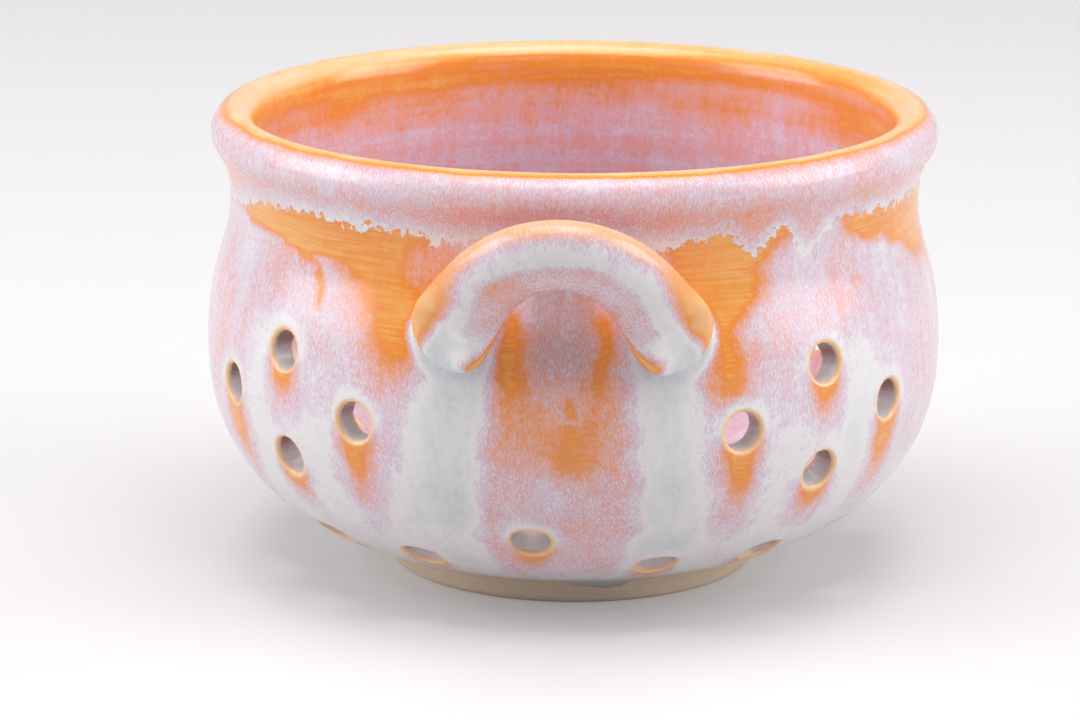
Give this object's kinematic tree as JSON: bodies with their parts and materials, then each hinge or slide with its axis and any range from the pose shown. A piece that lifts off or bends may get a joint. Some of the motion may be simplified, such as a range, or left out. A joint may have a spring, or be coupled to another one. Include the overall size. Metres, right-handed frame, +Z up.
{
  "type": "colander bowl",
  "caption": "Round bellied stoneware bowl with a rolled rim, drain holes through wall and floor, a bare foot ring and arched lug handles, for rinsing and draining food.",
  "frame": {"origin": "centre of the circle that the foot ring stands on", "axes": "+Z up along the bowl's axis, +Y from the front handle to the back handle, +X to the right seen from the front"},
  "size_m": [0.1676, 0.2106, 0.106],
  "materials": {
    "glazed_stoneware": "glossy flowing glaze, pink to pale blue over orange",
    "bare_stoneware": "bare fired buff clay"
  },
  "bodies": {
    "root": {"bowl_body": "glazed_stoneware", "foot_ring": "bare_stoneware", "handle_front": "glazed_stoneware", "handle_back": "glazed_stoneware"}
  },
  "joints": []
}
